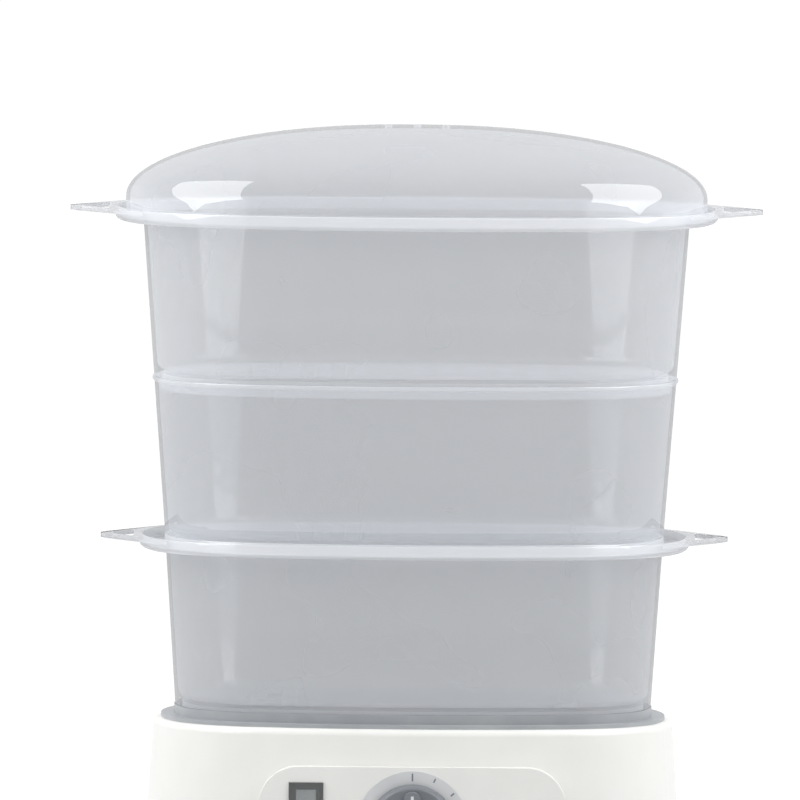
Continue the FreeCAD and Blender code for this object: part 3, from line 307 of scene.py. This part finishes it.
def stack_rings(name, stations):
    """A shell extruded ring by ring through its stations, closed at both ends."""
    deselect_all()
    bpy.ops.mesh.primitive_circle_add(vertices=len(OVAL), radius=HALF_WIDTH)
    piece = bpy.context.object
    piece.name = name
    place_ring(piece, *stations[0])
    for station in stations[1:]:
        bpy.ops.object.mode_set(mode="EDIT")
        bpy.ops.mesh.extrude_region_move()
        bpy.ops.object.mode_set(mode="OBJECT")
        place_ring(piece, *station)
    bpy.ops.object.mode_set(mode="EDIT")
    bpy.ops.mesh.select_all(action="SELECT")
    bpy.ops.mesh.fill_holes(sides=0)
    bpy.ops.mesh.select_all(action="SELECT")
    bpy.ops.mesh.normals_make_consistent(inside=False)
    bpy.ops.object.mode_set(mode="OBJECT")
    return piece


def apply_modifier(piece, kind, **settings):
    """Adds one modifier to a piece and applies it."""
    only(piece)
    modifier = piece.modifiers.new(kind.lower(), kind)
    for name, value in settings.items():
        setattr(modifier, name, value)
    bpy.ops.object.modifier_apply(modifier=modifier.name)


def round_edges(piece, width, segments=3, angle=30):
    """Breaks the sharp edges as the mould does."""
    apply_modifier(piece, "BEVEL", width=width, segments=segments, limit_method="ANGLE",
                   angle_limit=math.radians(angle), harden_normals=False)


def combine(piece, tool, operation):
    """Joins a tool to a piece or cuts it away, and deletes the tool."""
    apply_modifier(piece, "BOOLEAN", object=tool, operation=operation, solver="MANIFOLD")
    bpy.data.objects.remove(tool)


def finish_piece(piece, body, slot, material, *nodes, smooth=32):
    """Shades a piece, gives it its material and says what it rides on and replaces."""
    only(piece)
    bpy.ops.object.shade_smooth_by_angle(angle=math.radians(smooth))
    piece.data.materials.clear()
    piece.data.materials.append(material)
    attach(piece, body)
    if nodes:
        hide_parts(*nodes)
    return piece


def thicken_with_painted_glow(piece, material, below, above):
    """Gives the faces under one height and over another the denser look of a thick section, partly painted
    glow: the lighter copy brightens rims and nest rings as gathered light would.
    """
    piece.data.materials.append(material)
    for face in piece.data.polygons:
        if face.center.z < below or face.center.z > above:
            face.material_index = 1


def arc(centre, radius, start, end, steps):
    """Stations along an arc of the section, angles in degrees."""
    turns = [math.radians(start + (end - start) * step / steps) for step in range(steps + 1)]
    return [(centre[0] + radius * math.cos(t), centre[1] + radius * math.sin(t)) for t in turns]


def bowl_section(seat, rim, seat_out, rim_out, below_out, rise, gutter):
    """The section of a bowl from the middle of its floor round to the floor's underside."""
    slope = (rim_out - seat_out) / (rim - seat)
    inner_floor = seat_out + slope * rise - WALL
    floor_top = seat + rise
    collar = below_out - WALL - NEST_CLEARANCE
    section = arc((inner_floor - FLOOR_CORNER, floor_top + FLOOR_CORNER), FLOOR_CORNER, -90, -8, 6)
    section += [(rim_out - WALL, rim)]
    if gutter:
        edge = rim_out + gutter
        channel = rim + WALL + GUTTER_RISE - GUTTER_DEPTH
        under = rim - GUTTER_DEPTH
        corner_centre = (edge - GUTTER_CORNER, under + GUTTER_RISE + GUTTER_CORNER * 0.9)
        section += [
            (rim_out, rim),
            (rim_out + WALL / 4, channel - GUTTER_RISE),
            (edge - WALL, channel),
            (edge - WALL, rim),
            (edge, rim),
        ]
        section += arc(corner_centre, GUTTER_CORNER, 0, -84, 6)
        section += [(rim_out - slope * GUTTER_DEPTH, under)]
    else:
        section += [
            (rim_out + BEAD, rim),
            (rim_out + BEAD, rim - BEAD_HEIGHT),
            (rim_out - slope * (BEAD_HEIGHT + BEAD), rim - BEAD_HEIGHT - BEAD),
        ]
    section += [
        (seat_out, seat),
        (collar, seat),
        (collar - NEST_DRAFT, seat - NEST_DEPTH),
        (collar - WALL, seat - NEST_DEPTH),
        (collar - WALL, floor_top - FLOOR),
    ]
    return section


def flat_plate(name, corners, top, thickness, round_at=(), radius=0.0):
    """A plate with the given corners, some of them rounded in plan."""
    deselect_all()
    bpy.ops.mesh.primitive_plane_add(size=1)
    plate = bpy.context.object
    plate.name = name
    order = (0, 1, 3, 2)
    for index, corner in zip(order, corners):
        plate.data.vertices[index].co = (corner[0], corner[1], top)
    bpy.ops.object.mode_set(mode="EDIT")
    bpy.ops.mesh.select_mode(type="VERT")
    bpy.ops.mesh.select_all(action="DESELECT")
    bpy.ops.object.mode_set(mode="OBJECT")
    for corner in round_at:
        plate.data.vertices[order[corner]].select = True
    bpy.ops.object.mode_set(mode="EDIT")
    if round_at:
        bpy.ops.mesh.bevel(offset=radius, segments=10, affect="VERTICES")
    bpy.ops.mesh.select_all(action="SELECT")
    bpy.ops.mesh.extrude_region_move(TRANSFORM_OT_translate={"value": (0, 0, -thickness)})
    bpy.ops.mesh.select_all(action="SELECT")
    bpy.ops.mesh.normals_make_consistent(inside=False)
    bpy.ops.object.mode_set(mode="OBJECT")
    return plate


def make_ears(rim, rim_edge, reach):
    """Two ears that splay from their tips to the gutter's outer wall, with finger holes."""
    tip = rim_edge + reach
    root = rim_edge - 16 * MM
    bar_across = EAR_BAR * math.hypot(1, EAR_SPLAY)

    def half(place):
        return EAR_TIP_HALF + EAR_SPLAY * (tip - place)

    top = rim - EAR_STEP
    ears = flat_plate("ears", [
        (-root, -half(root)), (-tip, -EAR_TIP_HALF), (-tip, EAR_TIP_HALF), (-root, half(root)),
    ], top, EAR_PLATE - EAR_STEP, round_at=(1, 2), radius=EAR_CORNER)
    inner = rim_edge + EAR_HOLE_GAP
    outer = tip - EAR_BAR
    hole = flat_plate("finger_hole", [
        (-inner, -(half(inner) - bar_across)), (-outer, -(half(outer) - bar_across)),
        (-outer, half(outer) - bar_across), (-inner, half(inner) - bar_across),
    ], top + EAR_PLATE, 3 * EAR_PLATE, round_at=(0, 1, 2, 3), radius=EAR_HOLE_CORNER)
    combine(ears, hole, "DIFFERENCE")
    round_edges(ears, EAR_EDGE)
    apply_modifier(ears, "MIRROR", use_axis=(True, False, False))
    return ears


def slot_cutters(top):
    """All the drain slots of one floor as one cutter, each with rounded ends."""
    left = -(SLOT_COLUMNS - 1) * SLOT_PITCH_X / 2
    front = -(SLOT_ROWS - 1) * SLOT_PITCH_Y / 2
    half = SLOT_LENGTH / 2
    wide = SLOT_WIDTH / 2
    cutter = flat_plate("slots", [
        (left - half, front - wide), (left + half, front - wide),
        (left + half, front + wide), (left - half, front + wide),
    ], top + FLOOR, 3 * FLOOR, round_at=(0, 1, 2, 3), radius=SLOT_WIDTH * 0.42)
    apply_modifier(cutter, "ARRAY", count=SLOT_COLUMNS, use_relative_offset=False,
                   use_constant_offset=True, constant_offset_displace=(SLOT_PITCH_X, 0, 0))
    apply_modifier(cutter, "ARRAY", count=SLOT_ROWS, use_relative_offset=False,
                   use_constant_offset=True, constant_offset_displace=(0, SLOT_PITCH_Y, 0))
    return cutter


def make_bowl(name, node, body, seat_out, rim_out, below_out, rise, gutter=0.0, reach=0.0):
    """A bowl that stands on its seat, its nest ring inside the rim below."""
    low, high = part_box(node)
    seat, rim = low.z + NEST_DEPTH, high.z
    section = bowl_section(seat, rim, seat_out, rim_out, below_out, rise, gutter)
    bowl = stack_rings(name, section)
    round_edges(bowl, EDGE_ROUND)
    combine(bowl, slot_cutters(seat + rise), "DIFFERENCE")
    if reach:
        ears = make_ears(rim, HALF_WIDTH + rim_out + gutter, reach)
        inside = rim_out + gutter - WALL / 2
        plug = stack_rings("plug", [(inside, rim - GUTTER_DEPTH), (inside, rim + GUTTER_DEPTH)])
        combine(ears, plug, "DIFFERENCE")
        combine(bowl, ears, "UNION")
    finish_piece(bowl, body, "milky_polypropylene", thin_wall, node)
    # painted glow: rims and nest rings take the lighter, denser copy of the milky material
    thicken_with_painted_glow(bowl, thick_wall_with_painted_glow, seat, rim - (GUTTER_DEPTH if gutter else BEAD_HEIGHT + BEAD))


def make_lid():
    """A dome whose rings shrink as a slightly full ellipse, over a straight collar."""
    low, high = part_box("lid")
    crease = low.z + LID_COLLAR
    rise = high.z - crease

    def dome(inset):
        rings = []
        for step in range(LID_RINGS):
            share = math.sin(math.pi / 2 * step / LID_RINGS)
            scale = (1 - share**2) ** (1 / LID_POWER)
            rings.append((LID_OUT - inset, crease + (rise - inset) * share, scale))
        return rings

    stations = dome(0.0)[::-1] + [(LID_OUT, low.z), (LID_OUT - LID_WALL, low.z)] + dome(LID_WALL)
    lid = stack_rings("lid_shell", stations)
    round_edges(lid, EDGE_ROUND, angle=50)
    for step in (-1, 0, 1):
        deselect_all()
        bpy.ops.mesh.primitive_cylinder_add(radius=VENT_RADIUS, depth=rise, vertices=32,
                                            location=(step * VENT_PITCH, VENT_BACK, high.z))
        combine(lid, bpy.context.object, "DIFFERENCE")
    finish_piece(lid, "cover", "milky_polypropylene", thin_wall, "lid")


def stroke(name, face, start, end, width):
    """A thin printed bar on a face that looks forwards, from one point up to another."""
    deselect_all()
    bpy.ops.mesh.primitive_cube_add(size=1)
    bar = bpy.context.object
    bar.name = name
    along = end - start
    middle = (start + end) / 2
    bar.data.transform(Matrix.Translation((middle.x, face, middle.y))
                       @ Matrix.Rotation(math.atan2(along.x, along.y), 4, "Y")
                       @ Matrix.Diagonal((width, 2 * STROKE_PROUD, along.length, 1)))
    return bar


def join(name, bars):
    """Makes one piece of several bars."""
    deselect_all()
    for bar in bars:
        bar.select_set(True)
    bpy.context.view_layer.objects.active = bars[0]
    bpy.ops.object.join()
    bars[0].name = name
    return bars[0]


def make_strokes(dark, light):
    """Strokes every 25 degrees round the dial, a pointer on the knob and two levels on the gauge."""
    low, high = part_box("dial_ring")
    centre = Vector((low.x + high.x, low.z + high.z)) / 2
    outer = (high.x - low.x) / 2 - DIAL_MARGIN
    bars = []
    for step in range(DIAL_STROKES):
        turn = DIAL_SWEEP * step / (DIAL_STROKES - 1)
        way = Vector((math.sin(turn), math.cos(turn)))
        length = STROKE_SHORT if step % 3 else STROKE_LONG
        bars.append(stroke("dial_stroke", low.y, centre + way * (outer - length), centre + way * outer,
                           STROKE_WIDTH))
    finish_piece(join("dial_strokes", bars), "base", "grey_abs", dark)

    low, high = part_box("timer_knob")
    top = Vector((centre.x, high.z - POINTER_MARGIN))
    pointer = stroke("knob_pointer", low.y, top - Vector((0, POINTER_LENGTH)), top, 2 * STROKE_WIDTH)
    finish_piece(pointer, "timer", "dial_print", light)

    low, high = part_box("level_window")
    bars = []
    for share in GAUGE_LEVELS:
        height = low.z + (high.z - low.z) * share
        bars.append(stroke("gauge_level", low.y, Vector((low.x + DIAL_MARGIN, height)),
                           Vector((high.x - DIAL_MARGIN, height)), STROKE_WIDTH))
    finish_piece(join("gauge_levels", bars), "base", "grey_abs", dark)


def paint(node, material):
    """Gives a carried-over piece its material."""
    mesh = frame["nodes"][node].data
    mesh.materials.clear()
    mesh.materials.append(material)


def what_is_seen(tree, bare, through):
    """How far a ray looks at the room rather than gathers its light, and how bright the room is to it.

    The room is white as it is; seen through the milky walls it is drawn darker, as in the photograph,
    which is painted shade.
    """
    path = add_node(tree, "ShaderNodeLightPath")
    seen = add_node(tree, "ShaderNodeMath", links={
        0: path.outputs["Is Camera Ray"], 1: path.outputs["Is Glossy Ray"]}, operation="ADD")
    seen = add_node(tree, "ShaderNodeMath", links={
        0: seen.outputs[0], 1: path.outputs["Is Transmission Ray"]}, operation="ADD", use_clamp=True)
    # painted shade: what a ray sees turns darker once it has crossed milky faces
    brightness_with_painted_shade = add_node(tree, "ShaderNodeMapRange", {"To Min": bare, "To Max": through},
                          {"Value": path.outputs["Transparent Depth"]})
    return seen.outputs[0], brightness_with_painted_shade.outputs[0]


def make_stage():
    """A white floor that keeps the shadow, and white surroundings."""
    deselect_all()
    bpy.ops.mesh.primitive_plane_add(size=FLOOR_SIZE)
    floor = bpy.context.object
    floor.name = "floor"
    material, tree, output, _ = new_material("white_floor")
    # the floor is painted darker where it is seen through milky walls
    seen, brightness_with_painted_shade = what_is_seen(tree, FLOOR_GLOW, ROOM_SHADE_PAINTED_BEHIND_WALLS)
    paper = add_node(tree, "ShaderNodeBsdfDiffuse", {"Color": srgb("#CCCCCC")})
    glow = add_node(tree, "ShaderNodeEmission", {"Color": (1, 1, 1, 1)}, {"Strength": brightness_with_painted_shade})
    share = add_node(tree, "ShaderNodeMath", {1: FLOOR_GLOW_SHARE}, {0: seen}, operation="MULTIPLY")
    mix = add_node(tree, "ShaderNodeMixShader", links={
        "Fac": share.outputs[0], 1: paper.outputs[0], 2: glow.outputs[0]})
    tree.links.new(mix.outputs[0], output.inputs["Surface"])
    floor.data.materials.append(material)

    world = bpy.data.worlds.new("white_room")
    bpy.context.scene.world = world
    world.use_nodes = True
    tree = world.node_tree
    tree.nodes.clear()
    output = add_node(tree, "ShaderNodeOutputWorld")
    # the room is painted darker where it is seen through milky walls
    seen, brightness_with_painted_shade = what_is_seen(tree, ROOM_WHITE, ROOM_SHADE_PAINTED_BEHIND_WALLS)
    light = add_node(tree, "ShaderNodeBackground", {"Color": (1, 1, 1, 1), "Strength": ROOM_LIGHT})
    white = add_node(tree, "ShaderNodeBackground", {"Color": (1, 1, 1, 1)}, {"Strength": brightness_with_painted_shade})
    mix = add_node(tree, "ShaderNodeMixShader", links={
        "Fac": seen, 1: light.outputs[0], 2: white.outputs[0]})
    tree.links.new(mix.outputs[0], output.inputs["Surface"])


def direction(azimuth, elevation):
    """A unit vector, the azimuth counted from the front and growing to the right."""
    turn, lift = math.radians(azimuth), math.radians(elevation)
    return Vector((math.sin(turn) * math.cos(lift), -math.cos(turn) * math.cos(lift), math.sin(lift)))


def soft_box(name, side):
    """A rectangular lamp at the left (-1) or right (1), turned back to the steamer."""
    way = direction(side * LAMP_STANDS[0], LAMP_STANDS[1])
    facing = direction(side * LAMP_FACES[0], LAMP_FACES[1])
    lamp = bpy.data.lights.new(name, "AREA")
    lamp.shape = "RECTANGLE"
    lamp.size, lamp.size_y = LAMP_SIZE
    lamp.energy = LAMP_RADIANCE * math.pi * LAMP_SIZE[0] * LAMP_SIZE[1]
    holder = bpy.data.objects.new(name, lamp)
    bpy.context.scene.collection.objects.link(holder)
    holder.location = LAMP_CENTRE + way * LAMP_DISTANCE
    holder.rotation_mode = "QUATERNION"
    roll = Matrix.Rotation(math.radians(side * LAMP_ROLL), 3, "Z")
    turned = (-facing).to_track_quat("-Z", "Y").to_matrix() @ roll
    holder.rotation_quaternion = turned.to_quaternion()
    holder.visible_camera = False


def make_camera():
    """The photograph's view: far off, a little above, turned a little."""
    camera = bpy.data.cameras.new("camera")
    camera.lens = VIEW_LENS
    camera.sensor_width = 36.0
    camera.clip_end = 100.0
    holder = bpy.data.objects.new("camera", camera)
    bpy.context.scene.collection.objects.link(holder)
    back = Vector((0, -math.cos(VIEW_ELEVATION), math.sin(VIEW_ELEVATION)))
    tilt = Matrix.Rotation(math.pi / 2 - VIEW_ELEVATION, 4, "X")
    roll = Matrix.Rotation(VIEW_ROLL, 4, "Z")
    holder.matrix_world = Matrix.Translation(VIEW_AIM + back * VIEW_DISTANCE) @ tilt @ roll
    bpy.context.scene.camera = holder


thin_wall = milky_polypropylene("milky_polypropylene_natural", THIN_HAZE)
# a lighter copy of the milky material for rims and nest rings: partly thicker plastic, partly painted glow
thick_wall_with_painted_glow = milky_polypropylene("milky_polypropylene_natural_thick_painted_glow", THICK_HAZE_WITH_PAINTED_GLOW)
make_bowl("lower_bowl_shell", "lower_bowl", "lower_tier", seat_out=-6.2 * MM, rim_out=0.0,
          below_out=-5.7 * MM, rise=3.9 * MM, gutter=14.2 * MM, reach=21.1 * MM)
make_bowl("middle_bowl_shell", "middle_bowl", "middle_tier", seat_out=0.0, rim_out=6.6 * MM,
          below_out=0.0, rise=1.2 * MM)
make_bowl("upper_bowl_shell", "upper_bowl", "upper_tier", seat_out=6.6 * MM, rim_out=13.6 * MM,
          below_out=6.6 * MM, rise=3.9 * MM, gutter=15.1 * MM, reach=24.4 * MM)
make_lid()

finishes = {
    "milky_polypropylene": thin_wall,
    # injection-moulded ABS with a fine spark-eroded grain
    "white_abs": solid_finish("white_abs_spark_grain", "#E3E3E0", "#E5E5E2", 0.34),
    # satin ABS of the knob
    "grey_abs": solid_finish("grey_abs_satin", "#6C7075", "#74787D", 0.38),
    # moulded polypropylene, a little waxy
    "grey_polypropylene": solid_finish("grey_polypropylene_waxy", "#9B9EA2", "#A4A7AA", 0.42, bump=0.08),
    # screen-printed ring
    "dial_print": solid_finish("dial_print_matt", "#C9CBCD", "#CFD1D3", 0.5),
    # sand-cast and turned aluminium
    "cast_aluminium": solid_finish("cast_aluminium_turned", "#A9AAAC", "#B9BABB", 0.38, 6.0, 0.4,
                                   metallic=1.0),
    # bright zinc on pressed steel
    "zinc_plated_steel": solid_finish("zinc_plated_steel_bright", "#B4B8BE", "#C3C6CA", 0.3, 3.0, 0.2,
                                      metallic=1.0),
    # heat-stained steel tube
    "element_steel": solid_finish("element_steel_stained", "#7D7468", "#8F8A83", 0.4, 5.0, 0.2,
                                  metallic=1.0),
    # brown-black thermoset
    "phenolic": solid_finish("phenolic_thermoset", "#26211E", "#2D2825", 0.48),
    # dark soft rubber
    "silicone_rubber": solid_finish("silicone_rubber_matt", "#3A3A3C", "#424244", 0.7),
    # clear amber lens
    "amber_polycarbonate": solid_finish("amber_polycarbonate_clear", "#E8962E", "#EE9F36", 0.12,
                                        bump=0.0, transmission_weight=0.6),
    # glass of the neon lamp
    "lamp_glass": solid_finish("lamp_glass_clear", "#F2E3D2", "#F6EADC", 0.08, bump=0.0,
                               transmission_weight=0.9),
    # clear window
    "clear_polycarbonate": solid_finish("clear_polycarbonate_window", "#E9EEF0", "#EEF2F3", 0.08,
                                        bump=0.0, transmission_weight=0.92),
    # red float of the gauge
    "red_float": solid_finish("red_polypropylene_float", "#B9241C", "#C22C22", 0.35),
}
for part in frame["record"]["subparts"]:
    if part["material_slot"] in finishes:
        paint(part["node"], finishes[part["material_slot"]])

make_strokes(finishes["grey_abs"], finishes["dial_print"])

make_stage()
soft_box("soft_box_left", -1)
soft_box("soft_box_right", 1)
make_camera()
bpy.context.scene.view_settings.view_transform = "Standard"
# a line of sight crosses up to two dozen faces of milky wall
bpy.context.scene.cycles.transparent_max_bounces = WALL_FACES
